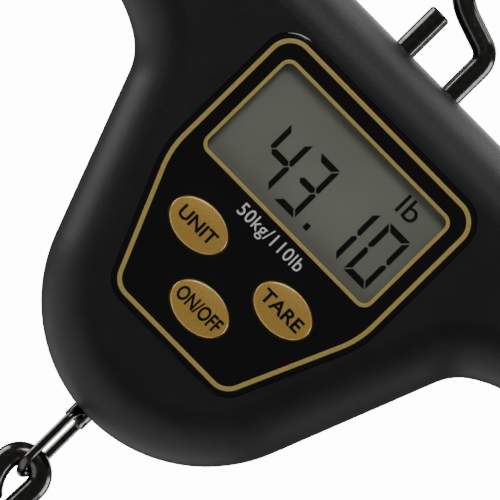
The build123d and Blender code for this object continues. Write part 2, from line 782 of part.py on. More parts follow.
with BuildPart() as swivel_stem:
    with BuildSketch(Plane.XY.offset(stem_bottom)):
        Circle(stem / 2)
    extrude(amount=nut_top - stem_bottom)
    chamfer(swivel_stem.edges().filter_by(GeomType.CIRCLE).sort_by(Axis.Z)[0], rod_chamfer)
    slot_height = clevis_below_pin + clevis_slot_rise
    with BuildSketch(Plane((0, 0, clevis_pin_z), z_dir=link_direction * -1, x_dir=link_normal)):
        with Locations((0, (clevis_slot_rise - clevis_below_pin) / 2)):
            Rectangle(clevis_slot, slot_height)
    extrude(amount=stem, both=True, mode=Mode.SUBTRACT)
    with BuildSketch(Plane((0, 0, clevis_pin_z), z_dir=link_normal)):
        Circle(clevis_pin_radius + fit_gap / 4)
    extrude(amount=stem, both=True, mode=Mode.SUBTRACT)
swivel_stem.part.label = "swivel_stem"
export_step(swivel_stem.part, "parts/swivel_stem.step")

with BuildPart() as swivel_nut:
    with BuildSketch(Plane.XY.offset(nut_bottom)):
        RegularPolygon(nut_radius, 6)
        Circle(stem / 2 + fit_gap / 4, mode=Mode.SUBTRACT)
    extrude(amount=nut_height)
swivel_nut.part.label = "swivel_nut"
export_step(swivel_nut.part, "parts/swivel_nut.step")

clevis_pin_length = 2 * (stem ** 2 / 4 - clevis_pin_radius ** 2) ** 0.5
with BuildPart() as clevis_pin:
    with BuildSketch(Plane((0, 0, clevis_pin_z), z_dir=link_normal)):
        Circle(clevis_pin_radius)
    extrude(amount=clevis_pin_length / 2, both=True)
clevis_pin.part.label = "clevis_pin"
export_step(clevis_pin.part, "parts/clevis_pin.step")

# --- Chain link: a closed wire loop with round ends -------------------------------------------------
link_middle = (link_top + link_bottom) / 2
link_straight = link_length - 2 * link_bend
link_plane = Plane((0, 0, link_middle), x_dir=link_direction, z_dir=link_normal * -1)
with BuildPart() as chain_link:
    with BuildLine(link_plane) as loop:
        side = Line((link_bend, -link_straight / 2), (link_bend, link_straight / 2))
        over = JernArc(side @ 1, (0, 1), link_bend, 180)
        back = Line(over @ 1, (-link_bend, -link_straight / 2))
        JernArc(back @ 1, (0, -1), link_bend, 180)
    with BuildSketch(Plane(side @ 0, z_dir=(0, 0, 1))):
        Circle(link_wire / 2)
    sweep()
chain_link.part.label = "chain_link"
export_step(chain_link.part, "parts/chain_link.step")

# --- Load hook: one bent wire with an eye, drawn about the link wire it hangs on -----------------------
eye_centre_z = link_wire / 2 + eye_play - (eye_radius - rod_radius)
with BuildPart() as hook_shape:
    with BuildLine(Plane.XZ):
        eye = JernArc((eye_radius, eye_centre_z), (0, 1), eye_radius, 180)
        curl = JernArc(eye @ 1, (0, -1), curl_radius, curl_turn)
        JernArc(curl @ 1, curl % 1, curl_end_radius, curl_end_turn)
        shank = Line(eye @ 0, eye @ 0 - Vector(0, 0, shank_length))
        neck = JernArc(shank @ 1, (0, -1), neck_radius, neck_turn)
        neck_end = PolarLine(neck @ 1, neck_run, neck_turn - 90)
        load_bowl = JernArc(neck_end @ 1, neck_end % 1, load_bowl_radius, -180 - neck_turn)
        tip = JernArc(load_bowl @ 1, load_bowl % 1, tip_flare_radius, tip_flare)
    with BuildSketch(Plane(tip @ 1, z_dir=tip % 1)):
        Circle(rod_radius)
    sweep()
    ends = hook_shape.faces().filter_by(GeomType.PLANE)
    chamfer(ends.edges(), rod_chamfer)
hang = hook_shape.part.center(CenterOf.MASS)
hang_tilt = degrees(atan2(hang.X, -hang.Z))
print("load hook centre of mass", hang, "tilt", hang_tilt)
with BuildPart() as load_hook:
    with Locations(Location((0, 0, link_bottom), (0, hang_tilt, 0))):
        add(hook_shape.part)
load_hook.part.label = "load_hook"
export_step(load_hook.part, "parts/load_hook.step")
print("load hook hangs at", load_hook.part.center(CenterOf.MASS), "from", link_bottom)

# --- Batteries: two cells side by side, the second one upside down ------------------------------------
for number, x, nub_up in ((1, battery_1_x, True), (2, battery_2_x, False)):
    upper_end = battery_top - contact_thickness - (contact_gap if nub_up else spring_length)
    nub_end = upper_end if nub_up else upper_end - battery_length
    case_end = upper_end - battery_length if nub_up else upper_end
    centre = (x + housing_x, battery_y)
    direction = 1 if nub_up else -1
    with BuildPart() as battery:
        with BuildSketch(Plane.XY.offset(housing_top + case_end)):
            with Locations(centre):
                Circle(battery_radius)
        extrude(amount=direction * (battery_length - battery_nub))
        fillet(battery.edges().filter_by(GeomType.CIRCLE), battery_nub / 2)
        with BuildSketch(Plane.XY.offset(housing_top + nub_end)):
            with Locations(centre):
                Circle(battery_nub_radius)
        extrude(amount=-direction * battery_nub)
    battery.part.label = "battery_" + str(number)
    export_step(battery.part, "parts/battery_" + str(number) + ".step")

# --- Battery contacts: two end plates with solder tabs on top, one bridge plate below ------------------
bridge_z = battery_top - tray_length + contact_thickness
spring_spots = [
    (battery_1_x, bridge_z),
    (battery_2_x, battery_top - contact_thickness - spring_length),
]
contact_low_y = tray_floor_y
contact_depth = 2 * battery_radius
with BuildPart() as battery_contacts:
    with BuildSketch(Plane.XY.offset(housing_top + battery_top - contact_thickness)):
        for x in (battery_1_x, battery_2_x):
            with Locations((x + housing_x, contact_low_y + contact_depth / 2)):
                Rectangle(contact_width, contact_depth)
            tab_depth = tray_wall + contact_tab_reach
            with Locations((x + housing_x, contact_low_y - tab_depth / 2)):
                Rectangle(contact_tab, tab_depth)
    extrude(amount=contact_thickness)
    with BuildSketch(Plane.XY.offset(housing_top + bridge_z - contact_thickness)):
        bridge_x = (battery_1_x + battery_2_x) / 2 + housing_x
        bridge_width = battery_2_x - battery_1_x + contact_width
        with Locations((bridge_x, contact_low_y + contact_depth / 2)):
            Rectangle(bridge_width, contact_depth)
    extrude(amount=contact_thickness)
battery_contacts.part.label = "battery_contacts"
export_step(battery_contacts.part, "parts/battery_contacts.step")

spring_turns = 4
coil_height = spring_length - spring_wire
with BuildPart() as battery_springs:
    for x, z in spring_spots:
        base = Vector(x + housing_x, battery_y, housing_top + z + spring_wire / 2)
        with BuildLine(Plane(base)):
            coil = Helix(coil_height / spring_turns, coil_height, spring_radius)
        with BuildSketch(Plane(coil @ 0, z_dir=coil % 0)):
            Circle(spring_wire / 2)
        sweep(is_frenet=True)
battery_springs.part.label = "battery_springs"
export_step(battery_springs.part, "parts/battery_springs.step")

# --- Battery door: hinged at its upper end on two short pegs ----------------------------------------------
door_centre_x = (tray_left + tray_right) / 2
with BuildPart() as battery_door:
    add(rear_block)
    with BuildSketch(face_plane(door_y)):
        with Locations((door_centre_x, tray_middle)):
            Rectangle(door_width, door_length)
    extrude(amount=-2 * door_thickness, mode=Mode.INTERSECT)
    top_edges = battery_door.edges().filter_by(Axis.X).group_by(Axis.Z)[-1]
    fillet(top_edges, door_thickness / 2 - fit_gap)
    with Locations(
        Location((door_centre_x + housing_x, door_pivot_y, housing_top + door_pivot_z), (0, 90, 0))
    ):
        Cylinder(door_pivot_radius, door_width + 2 * (door_gap + door_pivot_reach) - 2 * fit_gap)
    with BuildSketch(face_plane(rear_depth)):
        for row in range(5):
            with Locations((door_centre_x, tray_middle - door_length / 2 + 5 + 1.6 * row)):
                SlotOverall(12, 0.8)
    extrude(amount=0.4, mode=Mode.SUBTRACT)
battery_door.part.label = "battery_door"
export_step(battery_door.part, "parts/battery_door.step")


def lead(points, diameter):
    """A round lead along straight runs joined by arcs as large as the runs allow."""
    corners = [Vector(*point) for point in points]
    runs = [after - before for before, after in zip(corners, corners[1:])]
    radii = []
    for before, after in zip(runs, runs[1:]):
        half_turn = radians(before.get_angle(after) / 2)
        radii.append(lead_bend_share * min(before.length, after.length) / tan(half_turn))
    with BuildPart() as tube:
        with BuildLine() as route:
            FilletPolyline(*points, radius=radii)
        with BuildSketch(Plane(route.line @ 0, z_dir=route.line % 0)):
            Circle(diameter / 2)
        sweep()
    length = sum(edge.length for edge in route.edges())
    full = length * pi * diameter ** 2 / 4
    print("lead length", round(length, 2), "bend radii", [round(r, 2) for r in radii])
    print("lead volume over section times length", round(tube.part.volume / full, 5))
    return tube.part


# --- Leads: from the gauges round the load cell to the board, and from the contacts to the board -----------
cell_lead_z = bar_middle - cell_window_height / 2 + gauge_thickness + terminal_height / 2
with BuildPart() as load_cell_leads:
    add(
        lead(
            [
                (0, terminal_y + terminal_depth / 2, cell_lead_z),
                (0, cell_lead_y, cell_lead_z),
                (-cell_lead_side, cell_lead_y, cell_lead_z + cell_lead),
                (-cell_lead_side, board_rear_y, cell_lead_z + cell_lead),
            ],
            cell_lead,
        )
    )
load_cell_leads.part.label = "load_cell_leads"
export_step(load_cell_leads.part, "parts/load_cell_leads.step")

tab_end_y = tray_floor_y - tray_wall - contact_tab_reach
tab_z = housing_top + battery_top - contact_thickness / 2
with BuildPart() as battery_leads:
    for x, sideways in ((battery_1_x + housing_x, 2), (battery_2_x + housing_x, -3)):
        add(
            lead(
                [
                    (x, tab_end_y, tab_z),
                    (x, battery_lead_y, tab_z),
                    (x + sideways, battery_lead_y, tab_z - battery_lead_drop),
                    (x + sideways, board_rear_y, tab_z - battery_lead_drop),
                ],
                battery_lead,
            )
        )
battery_leads.part.label = "battery_leads"
export_step(battery_leads.part, "parts/battery_leads.step")
print("mount heights", housing_top, housing_bottom, clevis_pin_z, link_bottom)
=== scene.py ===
import math

import bmesh
import bpy
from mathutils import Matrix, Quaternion, Vector, noise
from mathutils.geometry import delaunay_2d_cdt


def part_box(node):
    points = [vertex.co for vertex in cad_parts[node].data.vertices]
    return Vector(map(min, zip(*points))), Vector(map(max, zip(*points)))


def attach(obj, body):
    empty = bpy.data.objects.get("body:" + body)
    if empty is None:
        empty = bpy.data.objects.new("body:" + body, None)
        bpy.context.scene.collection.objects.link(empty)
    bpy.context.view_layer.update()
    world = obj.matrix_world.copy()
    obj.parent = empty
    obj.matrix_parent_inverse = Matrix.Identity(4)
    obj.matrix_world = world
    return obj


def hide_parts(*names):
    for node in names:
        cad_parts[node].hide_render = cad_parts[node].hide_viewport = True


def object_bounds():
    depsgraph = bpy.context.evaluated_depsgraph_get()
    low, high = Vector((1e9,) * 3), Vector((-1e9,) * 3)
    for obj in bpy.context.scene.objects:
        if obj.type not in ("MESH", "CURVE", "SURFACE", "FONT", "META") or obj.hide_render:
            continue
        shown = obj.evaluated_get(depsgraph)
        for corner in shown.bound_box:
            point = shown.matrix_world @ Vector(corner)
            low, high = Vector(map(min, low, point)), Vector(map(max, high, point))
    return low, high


# Looks of a digital hanging luggage scale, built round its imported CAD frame.
# Lengths are in metres. The front faces -Y, +Z is up, and flat shapes on the front
# are drawn in millimetres about the top centre of the housing.

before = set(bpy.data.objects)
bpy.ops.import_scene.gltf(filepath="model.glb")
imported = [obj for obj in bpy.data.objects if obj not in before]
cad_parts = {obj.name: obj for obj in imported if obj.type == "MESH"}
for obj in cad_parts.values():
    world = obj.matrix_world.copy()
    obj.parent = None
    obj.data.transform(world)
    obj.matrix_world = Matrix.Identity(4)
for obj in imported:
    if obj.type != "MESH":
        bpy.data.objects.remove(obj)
cad_low, cad_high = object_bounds()
MM = 0.001

housing_low, housing_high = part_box("front_housing")
FACE_X = (housing_low.x + housing_high.x) / 2
FACE_TOP = housing_high.z
FACE_Y = housing_low.y
label_low, label_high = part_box("label_overlay")
lcd_low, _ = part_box("lcd_glass")


def face_point(x, z, y=FACE_Y):
    """Point on the front, from millimetres about the housing's top centre."""
    return Vector((FACE_X + x * MM, y, FACE_TOP + z * MM))


# --- Camera and light ----------------------------------------------------------------
VIEW_TARGET = Vector((0.00038, 0.0, -0.0884))
VIEW_DISTANCE = 2.0
VIEW_WIDTH = 0.1042
VIEW_ROLL = 45.47              # degrees
SENSOR_WIDTH = 36              # millimetres
CLIP_RANGE = (0.01, 20)
LIGHTS = {                     # place and size in metres, power in watts
    "key_light": ((-0.30, -0.80, 0.55), 0.45, 4.2),
    "right_light": ((0.85, 0.05, 0.1), 0.6, 6.0),
    "left_light": ((-0.9, 0.05, -0.1), 0.6, 6.0),
    "low_light": ((0.1, -0.1, -0.8), 0.5, 3.6),
    "top_light": ((0.05, 0.15, 1.1), 1.0, 10),
    "back_light": ((0.1, 0.9, 0.3), 0.8, 5),
}
SKY_SEEN = 14.0                # strength of the surroundings in front of the camera
SKY_LIT = 0.1                  # and their strength on the surfaces
FLOOR_HALF = 0.55
FLOOR_DROP = 0.32              # from the lowest point of the scale


def make_camera():
    """Camera in front of the display, rolled so that the scale hangs from the upper right."""
    data = bpy.data.cameras.new("camera")
    data.sensor_width = SENSOR_WIDTH
    data.lens = SENSOR_WIDTH * (VIEW_DISTANCE + FACE_Y) / VIEW_WIDTH
    data.clip_start, data.clip_end = CLIP_RANGE
    camera = bpy.data.objects.new("camera", data)
    bpy.context.collection.objects.link(camera)
    camera.location = VIEW_TARGET + Vector((0, -VIEW_DISTANCE, 0))
    camera.rotation_mode = "QUATERNION"
    level = Quaternion((1, 0, 0), math.radians(90))
    roll = Quaternion((0, 0, 1), math.radians(VIEW_ROLL))
    camera.rotation_quaternion = level @ roll
    bpy.context.scene.camera = camera


def make_light(name, place, size, power):
    """Square soft light that faces the middle of the scale."""
    data = bpy.data.lights.new(name, "AREA")
    data.size = size
    data.energy = power
    light = bpy.data.objects.new(name, data)
    bpy.context.collection.objects.link(light)
    light.location = place
    light.rotation_mode = "QUATERNION"
    light.rotation_quaternion = (VIEW_TARGET - Vector(place)).to_track_quat("-Z", "Y")


def make_world():
    """White surroundings as the camera sees them, dimmer as the surfaces do."""
    world = bpy.data.worlds.new("world")
    bpy.context.scene.world = world
    world.use_nodes = True
    nodes, links = world.node_tree.nodes, world.node_tree.links
    nodes.clear()
    path = nodes.new("ShaderNodeLightPath")
    seen = nodes.new("ShaderNodeBackground")
    seen.inputs["Color"].default_value = (1, 1, 1, 1)
    seen.inputs["Strength"].default_value = SKY_SEEN
    lit = nodes.new("ShaderNodeBackground")
    lit.inputs["Color"].default_value = (1, 1, 1, 1)
    lit.inputs["Strength"].default_value = SKY_LIT
    mix = nodes.new("ShaderNodeMixShader")
    out = nodes.new("ShaderNodeOutputWorld")
    links.new(path.outputs["Is Camera Ray"], mix.inputs["Fac"])
    links.new(lit.outputs["Background"], mix.inputs[1])
    links.new(seen.outputs["Background"], mix.inputs[2])
    links.new(mix.outputs["Shader"], out.inputs["Surface"])


def make_floor():
    """Plain pale floor under the hanging scale."""
    half, level = FLOOR_HALF, cad_low.z - FLOOR_DROP
    mesh = bpy.data.meshes.new("floor")
    corners = [(-half, -half), (half, -half), (half, half), (-half, half)]
    mesh.from_pydata([(x, y, level) for x, y in corners], [], [(0, 1, 2, 3)])
    floor = bpy.data.objects.new("floor", mesh)
    bpy.context.collection.objects.link(floor)
    material = bpy.data.materials.new("floor")
    material.use_nodes = True
    shader = material.node_tree.nodes["Principled BSDF"]
    shader.inputs["Base Color"].default_value = (0.82, 0.82, 0.81, 1)
    shader.inputs["Roughness"].default_value = 0.9
    mesh.materials.append(material)


# --- Materials ------------------------------------------------------------------------
class Surface:
    """A material whose colour, roughness and bump come from a few procedural layers."""

    COAT_ROUGHNESS = 0.05

    def __init__(self, name, color, roughness, metallic=0.0, specular=0.5, coat=0.0):
        self.material = bpy.data.materials.new(name)
        self.material.use_nodes = True
        self.nodes = self.material.node_tree.nodes
        self.links = self.material.node_tree.links
        self.shader = self.nodes["Principled BSDF"]
        self.color = color
        self.roughness = roughness
        inputs = self.shader.inputs
        inputs["Base Color"].default_value = (*color, 1)
        inputs["Roughness"].default_value = roughness
        inputs["Metallic"].default_value = metallic
        inputs["Specular IOR Level"].default_value = specular
        inputs["Coat Weight"].default_value = coat
        inputs["Coat Roughness"].default_value = self.COAT_ROUGHNESS
        self.place = self.nodes.new("ShaderNodeTexCoord").outputs["Object"]
        self.height = None

    def grain(self, size_mm, detail, stretch=None):
        """Noise whose features are about size_mm across, drawn out along an axis by stretch."""
        source = self.place
        if stretch:
            mapping = self.nodes.new("ShaderNodeMapping")
            mapping.inputs["Scale"].default_value = stretch
            self.links.new(source, mapping.inputs["Vector"])
            source = mapping.outputs["Vector"]
        texture = self.nodes.new("ShaderNodeTexNoise")
        texture.inputs["Scale"].default_value = 1 / (size_mm * MM)
        texture.inputs["Detail"].default_value = detail
        self.links.new(source, texture.inputs["Vector"])
        return texture.outputs["Fac"]

    def cells(self, size_mm):
        """Rounded cells about size_mm across, as on a spark-eroded mould."""
        texture = self.nodes.new("ShaderNodeTexVoronoi")
        texture.feature = "SMOOTH_F1"
        texture.inputs["Scale"].default_value = 1 / (size_mm * MM)
        self.links.new(self.place, texture.inputs["Vector"])
        return texture.outputs["Distance"]

    def remap(self, value, low, high, start=0.3, end=0.7):
        """The value spread from low to high."""
        node = self.nodes.new("ShaderNodeMapRange")
        node.inputs["From Min"].default_value = start
        node.inputs["From Max"].default_value = end
        node.inputs["To Min"].default_value = low
        node.inputs["To Max"].default_value = high
        self.links.new(value, node.inputs["Value"])
        return node.outputs["Result"]

    def vary_color(self, value, other, start=0.35, end=0.65):
        """Blend from the base colour to another one where the value is high."""
        amount = self.remap(value, 0, 1, start, end)
        mix = self.nodes.new("ShaderNodeMix")
        mix.data_type = "RGBA"
        mix.inputs["A"].default_value = (*self.color, 1)
        mix.inputs["B"].default_value = (*other, 1)
        self.links.new(amount, mix.inputs["Factor"])
        self.links.new(mix.outputs["Result"], self.shader.inputs["Base Color"])
        return self

    def vary_roughness(self, value, spread):
        """Roughness that wanders by a spread about its middle value."""
        low, high = self.roughness - spread, self.roughness + spread
        self.links.new(self.remap(value, low, high), self.shader.inputs["Roughness"])
        return self

    def bump(self, value, height_mm, strength):
        """Bump of a given height, stacked on the ones before it."""
        node = self.nodes.new("ShaderNodeBump")
        node.inputs["Strength"].default_value = strength
        node.inputs["Distance"].default_value = height_mm * MM
        self.links.new(value, node.inputs["Height"])
        if self.height:
            self.links.new(self.height, node.inputs["Normal"])
        self.height = node.outputs["Normal"]
        self.links.new(self.height, self.shader.inputs["Normal"])
        return self


def matte_housing():
    """Black moulded plastic with a fine, dull texture."""
    s = Surface("housing_matte", (0.0045, 0.0045, 0.0048), roughness=0.46, specular=0.4)
    grain = s.grain(0.35, detail=3)
    s.vary_color(s.grain(9, detail=3), (0.0075, 0.0075, 0.0078))
    s.vary_roughness(grain, 0.05)
    s.bump(s.cells(0.55), 0.025, strength=0.6)
    s.bump(grain, 0.02, strength=0.5)
    return s.material


def gloss_label():
    """Glossy black film, very slightly wavy."""
    s = Surface("label_gloss", (0.003, 0.003, 0.0032), roughness=0.09, specular=0.5, coat=0.3)
    s.vary_roughness(s.grain(14, detail=2), 0.02)
    s.bump(s.grain(6, detail=1), 0.012, strength=0.25)
    return s.material


def gold_print():
    """Gold ink of the border and the window frame."""
    s = Surface("gold_print", (0.52, 0.38, 0.1), roughness=0.3, metallic=0.2, coat=0.3)
    s.vary_color(s.grain(0.4, detail=2), (0.58, 0.44, 0.13))
    s.bump(s.grain(0.25, detail=2), 0.004, strength=0.4)
    return s.material


def gold_key():
    """Gold paint under a clear coat."""
    s = Surface("key_gold", (0.54, 0.32, 0.06), roughness=0.3, metallic=0.25,
                specular=0.6, coat=1.0)
    s.vary_color(s.grain(0.25, detail=2), (0.58, 0.355, 0.07))
    s.vary_roughness(s.grain(0.3, detail=2), 0.05)
    s.bump(s.grain(0.2, detail=2), 0.002, strength=0.3)
    return s.material


def white_print():
    """White ink."""
    s = Surface("white_print", (0.72, 0.72, 0.7), roughness=0.35)
    s.vary_color(s.grain(0.3, detail=2), (0.66, 0.66, 0.64))
    return s.material


def black_print():
    """Black ink."""
    s = Surface("black_print", (0.002, 0.002, 0.002), roughness=0.45, specular=0.2)
    s.vary_roughness(s.grain(0.4, detail=2), 0.05)
    return s.material


def display_face():
    """Grey-green back of the display."""
    s = Surface("display_face", (0.235, 0.245, 0.2), roughness=0.42, specular=0.3)
    s.vary_color(s.grain(16, detail=2), (0.26, 0.27, 0.22))
    s.vary_roughness(s.grain(0.6, detail=2), 0.05)
    s.bump(s.grain(0.15, detail=2), 0.002, strength=0.3)
    return s.material


def display_segment():
    """Dark segments of the display."""
    s = Surface("display_segment", (0.002, 0.002, 0.0018), roughness=0.5, specular=0.2)
    s.vary_color(s.grain(1.5, detail=2), (0.004, 0.004, 0.0035))
    return s.material


def clear_lens():
    """Clear window whose reflections are faint."""
    s = Surface("lens_clear", (0.02, 0.022, 0.02), roughness=0.03)
    s.shader.inputs["Alpha"].default_value = 0.06
    s.vary_roughness(s.grain(12, detail=2), 0.01)
    s.bump(s.grain(9, detail=1), 0.006, strength=0.2)
    s.material.surface_render_method = "BLENDED"
    return s.material


def dark_nickel():
    """Dark plated wire."""
    s = Surface("wire_dark_nickel", (0.085, 0.083, 0.08), roughness=0.2, metallic=1.0)
    s.vary_color(s.grain(1.1, detail=3), (0.125, 0.12, 0.112))
    s.vary_roughness(s.grain(0.7, detail=3), 0.06)
    s.bump(s.grain(0.35, detail=3), 0.006, strength=0.5)
    return s.material


def zinc_steel():
    """Zinc-plated steel."""
    s = Surface("steel_zinc", (0.55, 0.55, 0.54), roughness=0.3, metallic=1.0)
    s.vary_roughness(s.grain(0.5, detail=3), 0.08)
    s.bump(s.grain(0.2, detail=3), 0.004, strength=0.4)
    return s.material


def milled_aluminium():
    """Aluminium with fine streaks from the cutter."""
    s = Surface("aluminium_milled", (0.72, 0.73, 0.74), roughness=0.32, metallic=1.0)
    streaks = s.grain(0.2, detail=3, stretch=(0.05, 1, 1))
    s.vary_roughness(streaks, 0.08)
    s.bump(streaks, 0.004, strength=0.5)
    return s.material


def solder_resist():
    """Green board coating, mottled by the copper under it."""
    s = Surface("board_resist", (0.01, 0.1, 0.035), roughness=0.3, coat=0.3)
    s.vary_color(s.grain(1.6, detail=1), (0.014, 0.14, 0.05), start=0.48, end=0.52)
    s.bump(s.grain(1.6, detail=1), 0.02, strength=0.3)
    return s.material


PALER = 1.2                    # the lighter patches of plain plastic


def plain_plastic(name, color, roughness):
    """Plain plastic in a given colour."""
    s = Surface(name, color, roughness)
    s.vary_color(s.grain(3, detail=2), tuple(min(1, c * PALER) for c in color))
    s.bump(s.grain(0.4, detail=2), 0.008, strength=0.4)
    return s.material


def battery_sleeve():
    """Printed film round a battery."""
    s = Surface("battery_sleeve", (0.03, 0.035, 0.045), roughness=0.22, metallic=0.3, coat=0.4)
    s.vary_color(s.grain(2, detail=2, stretch=(1, 1, 0.1)), (0.04, 0.045, 0.06))
    s.bump(s.grain(0.5, detail=2), 0.004, strength=0.3)
    return s.material


def soft_sleeve(name, color):
    """Soft sleeve of a lead."""
    s = Surface(name, color, roughness=0.5)
    s.vary_roughness(s.grain(0.8, detail=2), 0.08)
    s.bump(s.grain(0.5, detail=2), 0.01, strength=0.4)
    return s.material


# --- Flat shapes, in millimetres about the housing's top centre -------------------------
LABEL_CORNERS = [(28.0, -14.7), (-28.0, -14.7), (-28.0, -49.7),
                 (-15.95, -77.55), (15.95, -77.55), (28.0, -49.7)]
LABEL_RADII = [5.0, 5.0, 20.0, 4.5, 4.5, 20.0]
LABEL_MARGIN = 1.7             # from the border's centre line out to the rim
BORDER_HALF = 0.5              # half the width of the border's line
WINDOW_SIZE = (47.6, 24.95)
WINDOW_MIDDLE = (0.0, -31.6)
WINDOW_CORNER = 1.7
FRAME_LINE = 0.8               # width of the line round the window
KEY_SIZE = (14.4, 9.8)
KEY_GAP = 0.35                 # between a key and its hole in the label
KEYS = {"unit": (-12.5, -56.75), "tare": (12.5, -56.75), "on_off": (0.0, -68.8)}
LOOP_STEP = 0.5
WINDOW_STEP = 0.4
NEAR_ZERO = 1e-6


def along(start, end, step):
    """Evenly spaced points from start up to, but not at, the end."""
    count = max(1, round((end - start).length / step))
    return [start.lerp(end, i / count) for i in range(count)]


def rounded_polygon(corners, radii, grow, step):
    """Loop round a convex polygon with rounded corners, its edges moved out by grow.

    The corners run anticlockwise.
    """
    corners = [Vector(c) for c in corners]
    stops = []
    for i, corner in enumerate(corners):
        before = (corner - corners[i - 1]).normalized()
        after = (corners[(i + 1) % len(corners)] - corner).normalized()
        turn = before.angle(after)
        out = Vector((before.y + after.y, -before.x - after.x)).normalized()
        tip = corner + out * grow / math.cos(turn / 2)
        radius = radii[i] + grow
        middle = tip - out * radius / math.cos(turn / 2)
        count = max(2, round(radius * turn / step))
        first = math.atan2(-before.x, before.y)
        arc = [first + turn * k / count for k in range(count + 1)]
        stops.append([middle + Vector((math.cos(a), math.sin(a))) * radius for a in arc])
    loop = []
    for i, arc in enumerate(stops):
        loop += arc[:-1] + along(arc[-1], stops[(i + 1) % len(stops)][0], step)
    return loop


def label_loop(grow):
    """Loop along the centre line of the label's border, moved out by grow."""
    return rounded_polygon(LABEL_CORNERS, LABEL_RADII, grow, LOOP_STEP)


def window_loop(grow):
    """Loop along the window's edge, moved out by grow."""
    half_x, half_z = WINDOW_SIZE[0] / 2, WINDOW_SIZE[1] / 2
    x, z = WINDOW_MIDDLE
    corners = [(x + half_x, z - half_z), (x + half_x, z + half_z),
               (x - half_x, z + half_z), (x - half_x, z - half_z)]
    return rounded_polygon(corners, [WINDOW_CORNER] * 4, grow, WINDOW_STEP)


def oval_loop(key, grow, count):
    """Loop along a key's edge, moved out by grow."""
    x, z = KEYS[key]
    half_x, half_z = KEY_SIZE[0] / 2 + grow, KEY_SIZE[1] / 2 + grow
    turns = [math.tau * i / count for i in range(count)]
    return [Vector((x + half_x * math.cos(t), z + half_z * math.sin(t))) for t in turns]


def smooth(t):
    """Smooth step from 0 at t = 0 to 1 at t = 1."""
    t = min(1.0, max(0.0, t))
    return t * t * (3 - 2 * t)


def window_distance(point):
    """Distance outside the window's edge, negative inside it."""
    across = abs(point.x - WINDOW_MIDDLE[0]) - WINDOW_SIZE[0] / 2 + WINDOW_CORNER
    up = abs(point.y - WINDOW_MIDDLE[1]) - WINDOW_SIZE[1] / 2 + WINDOW_CORNER
    outside = math.hypot(max(across, 0), max(up, 0))
    return outside + min(max(across, up), 0) - WINDOW_CORNER


def oval_distance(point, key):
    """Distance outside a key's edge, near enough for a gentle slope."""
    x, z = KEYS[key]
    half_x, half_z = KEY_SIZE[0] / 2, KEY_SIZE[1] / 2
    across, up = (point.x - x) / half_x, (point.y - z) / half_z
    scaled = math.hypot(across, up)
    if scaled < NEAR_ZERO:
        return -half_z
    slope = math.hypot(across / half_x, up / half_z) / scaled
    return (scaled - 1) / slope


def nearest_key_distance(point):
    """Distance outside the edge of the nearest key."""
    return min(oval_distance(point, key) for key in KEYS)


def label_distance(point):
    """Distance inside the centre line of the label's border, negative outside it."""
    corners = [Vector(c) for c in LABEL_CORNERS]
    upper_right, lower_right, middle_right = 0, 4, 5
    right, top = LABEL_CORNERS[upper_right]
    bottom = LABEL_CORNERS[lower_right][1]
    side = Vector((abs(point.x), point.y))      # the label is the same on both sides
    nearest = min(top - side.y, right - side.x, side.y - bottom)
    slant = (corners[middle_right] - corners[lower_right]).normalized()
    nearest = min(nearest, (side - corners[lower_right]).dot(Vector((-slant.y, slant.x))))
    for corner in (upper_right, lower_right, middle_right):
        radius = LABEL_RADII[corner]
        here = corners[corner]
        before = (here - corners[corner - 1]).normalized()
        after = (corners[(corner + 1) % len(corners)] - here).normalized()
        out = Vector((before.y + after.y, -before.x - after.x)).normalized()
        middle = here - out * radius / math.cos(before.angle(after) / 2)
        offset = side - middle
        if offset.dot(before) > 0 and offset.dot(after) < 0:
            nearest = min(nearest, radius - offset.length)
    return nearest


def piece(name, mesh, body, slot, *nodes):
    """Object from a finished mesh, riding on a body and standing for CAD nodes where it does."""
    obj = bpy.data.objects.new(name, mesh)
    bpy.context.collection.objects.link(obj)
    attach(obj, body)
    if nodes:
        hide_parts(*nodes)


def smooth_mesh(name, points, faces, materials, crease, choose=None):
    """Smooth-shaded mesh whose edges sharper than crease degrees stay crisp."""
    mesh = bpy.data.meshes.new(name)
    mesh.from_pydata(points, [], faces)
    for material in materials:
        mesh.materials.append(material)
    if choose:
        for polygon, index in zip(mesh.polygons, choose):
            polygon.material_index = index
    mesh.update()
    mesh.shade_smooth()
    mesh.set_sharp_from_angle(angle=math.radians(crease))
    return mesh


# --- Label -----------------------------------------------------------------------------
PILLOW_HEIGHT = 0.42           # the film swells round the keys
PILLOW_REACH = 1.9
RIPPLE_HEIGHT = 0.07           # and waves below the display
RIPPLE_LENGTH = 8.0
RIPPLE_TOP = -45
RIPPLE_BLEND = 6
BORDER_RISE = 0.1
FRAME_RISE = 0.09
RIM_DROP = 0.16                # the film turns down at its rim
RIM_WIDTH = 0.5
RIM_STEP = 0.28                # from the rim in to the next loop of points
HOLE_POINTS = 84
GRID_STEP = 0.58               # spacing of the points between the loops
ROW_SHARE = 0.866              # from spacing to the step between the rows of triangles
GRID_LEFT, GRID_TOP = -31, -11
GRID_WIDTH, GRID_HEIGHT = 62, 70
LINE_CLEAR = 0.2
HOLE_CLEAR = 0.25
MERGE_DISTANCE = 1e-6
LABEL_CREASE = 50
FILM_SLOT, GOLD_SLOT = 0, 1


